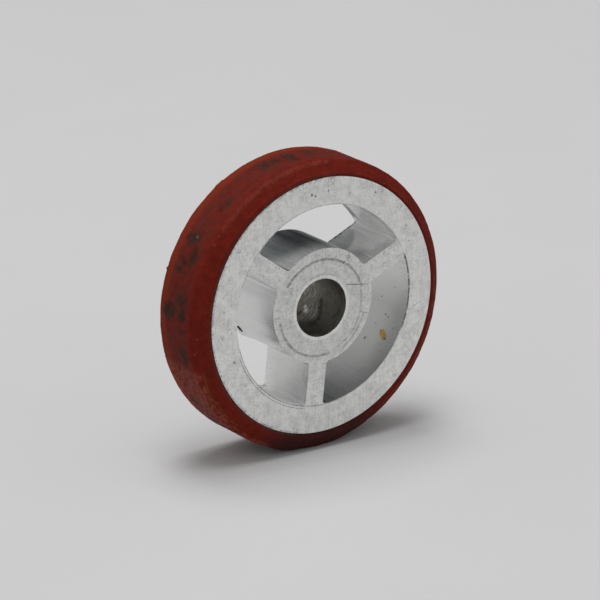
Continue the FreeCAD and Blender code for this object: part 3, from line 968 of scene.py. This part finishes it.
mottle = grains(tree, place, size=1.5 * MM, low=0.35, high=0.7)
colour = tint(tree, BRICK, mottle, DEEP_RED, strength=0.75)
outside = fade(tree, distance, *TREAD_FADE)
colour = tint(tree, colour, both(tree, fade(tree, across, *ORANGE_FADE), outside), ORANGE_RED, strength=0.75)
off_strip = combine(tree, "ABSOLUTE", combine(tree, "ADD", across, GRIME_SHIFT), 0)
strip = both(tree, fade(tree, off_strip, *GRIME_FADE), outside)
grimy = both(tree, strip, grains(tree, place, size=1.8 * MM, low=0.3, high=0.65))
colour = tint(tree, colour, grimy, GRIME, strength=0.6)
# Darker towards the bottom.
colour = tint(tree, colour, spots(tree, place, LOW_SIDE, core=0.45), BROWN_RED, strength=0.82)
# Dust and painted sheen along the low left of the tread.
low_edge = arc(tree, place, radius=29.8 * MM, width=0.9 * MM, first=198, last=246)
sheen_and_dust = both(tree, low_edge, grains(tree, place, size=0.8 * MM, low=0.35, high=0.7))
colour = tint(tree, colour, sheen_and_dust, DUST_AND_SHEEN, strength=0.6)
torn = tear(tree, place, size=1.9 * MM, depth=3.2 * MM)
stained = None
for degrees, y, half_length, half_width, strength in STAINS:
    size = Vector((half_length, half_width, half_length)) * STAIN_SPREAD * MM
    mark = mask(tree, spot, Vector=torn, Centre=on_tread(degrees, y), Size=size, Core=0.15)
    mark = weaken(tree, mark, strength)
    stained = mark if stained is None else combine(tree, "MAXIMUM", stained, mark)
blotchy = span(tree, grains(tree, place, size=0.6 * MM, low=0.25, high=0.75, detail=6), low=0.3, high=1.3)
stained = fade(tree, both(tree, stained, blotchy), *STAIN_FADE)
greyish = grains(tree, place, size=2.4 * MM, low=0.45, high=0.55)
stain_colour = tint(tree, STAIN_DARK, greyish, STAIN_GREY)
colour = tint(tree, colour, stained, stain_colour, strength=0.9)
# Painted glint on a stain in the tread.
glint = mask(tree, spot, Vector=place, Centre=on_tread(*GLINT_PLACE), Size=GLINT_SIZE, Core=0.2)
colour = tint(tree, colour, glint, PALE_GLINT, strength=0.75)
patchy = span(tree, grains(tree, place, size=0.9 * MM, low=0.35, high=0.65, detail=3), low=0.3, high=1.0)
# Painted highlight along the top of the tread's front edge.
ridge_highlight = arc(tree, place, radius=29.6 * MM, width=0.5 * MM, first=86, last=138)
ridge_highlight = both(tree, ridge_highlight, fade(tree, across, *RIDGE_HIGHLIGHT_FADE))
colour = tint(tree, colour, both(tree, ridge_highlight, patchy), PINK, strength=0.3)
BUMP_MARK = 0.4  # mm
bumps = [(*(on_shoulder(degrees, share) / MM), BUMP_MARK) for degrees, share, height, reach in SHOULDER_BUMPS]
colour = tint(tree, colour, spots(tree, place, bumps, core=0.0), PINK, strength=0.5)
for crease in CREASES:
    for first, last in zip(crease, crease[1:]):
        ends = {"Start": on_shoulder(*first), "End": on_shoulder(*last)}
        line = mask(tree, scratch, Vector=place, **ends, Width=0.32 * MM)
        colour = tint(tree, colour, both(tree, line, patchy), OCHRE, strength=0.5)
flecks = grains(tree, place, size=0.45 * MM, low=0.68, high=0.78, detail=2)
colour = tint(tree, colour, flecks, DUST_AND_SHEEN, strength=0.35)
# Dirt and painted shade on the tyre's lip beside the core, from the top round the left.
lip_edge = arc(tree, centred, CORE_RADIUS + 0.1 * MM, width=0.6 * MM, first=84, last=256)
colour = tint(tree, colour, both(tree, lip_edge, patchy), LIP_DIRT_AND_SHADE, strength=0.5)
roughness = span(tree, mottle, low=0.65, high=0.8)
relief = combine(tree, "ADD", grains(tree, place, size=0.4 * MM, low=0.3, high=0.7), mottle)
normal = bump(tree, relief, distance=0.08 * MM, strength=0.7)
wire(tree, shader, Base_Color=colour, Roughness=roughness, Specular_IOR_Level=0.07, Normal=normal)
tyre.data.materials.append(rubber)

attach(tyre, "root")
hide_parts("tyre")

# Table and light: the wheel stands upright on a pale sheet of card, under two soft lights overhead, one
# behind on the right and one in front on the left. The room is bright all round, but for a dark side far
# behind on the right.
FLOOR_SIZE = 6.0
SHEET = (0.6, 0.6, 0.6, 1)
SHEET_SHADE = (0.585, 0.585, 0.585, 1)
LIGHT_SIZE = 0.5
LIGHT_ENERGY = 4.75
LIGHTS = (("back_light", (0.105, 0.33, 1.2)), ("front_light", (-0.137, -0.1, 1.2)))
BRIGHT_ROOM = (0.55, 0.55, 0.55, 1)
DARK_SIDE = (0.028, 0.03, 0.033, 1)
DARK_DIRECTION = Vector((0.55, 0.8, 0.25)).normalized()
DARK_EDGE = 0.3  # how near the dark side's direction its darkness starts, where 1 is the direction itself
bpy.ops.object.select_all(action="DESELECT")
bpy.ops.mesh.primitive_plane_add(size=FLOOR_SIZE, location=(0, 0, -TREAD_RADIUS))
floor = named("pale_sheet")
sheet, tree, shader, place = add_finish("pale_sheet")
fibre = grains(tree, place, size=40 * MM, low=0.3, high=0.7)
colour = tint(tree, SHEET, fibre, SHEET_SHADE, strength=0.5)
wire(tree, shader, Base_Color=colour, Roughness=0.7, Specular_IOR_Level=0.2)
floor.data.materials.append(sheet)

for name, above in LIGHTS:
    bpy.ops.object.light_add(type="AREA", location=above)
    lamp = bpy.context.object
    lamp.name = name
    lamp.data.size = LIGHT_SIZE
    lamp.data.energy = LIGHT_ENERGY

world = bpy.data.worlds.new("room")
bpy.context.scene.world = world
world.use_nodes = True
tree = world.node_tree
towards = tree.nodes.new("ShaderNodeTexCoord").outputs["Generated"]
facing = vector_value(tree, "DOT_PRODUCT", towards, DARK_DIRECTION)
shade = place_node(tree, "MapRange", {"Value": facing, "From Min": DARK_EDGE, "From Max": 1.0}).outputs[0]
shade = combine(tree, "MULTIPLY", shade, shade)
tree.links.new(tint(tree, BRIGHT_ROOM, shade, DARK_SIDE), tree.nodes["Background"].inputs["Color"])

# Camera: to the left of the photographed side and a little above it, with a long lens.
CAMERA_PLACE = Vector((-435.098, -628.88, 259.049)) * MM
CAMERA_DOWN = 18.74
CAMERA_RIGHT = 34.67
camera_turn = (math.radians(90 - CAMERA_DOWN), 0, math.radians(-CAMERA_RIGHT))
bpy.ops.object.camera_add(location=CAMERA_PLACE, rotation=camera_turn)
camera = bpy.context.object
camera.name = "camera"
camera.data.sensor_width = 36
camera.data.lens = 242.4
camera.data.clip_start = 10 * MM
bpy.context.scene.camera = camera
bpy.context.scene.view_settings.view_transform = "Standard"
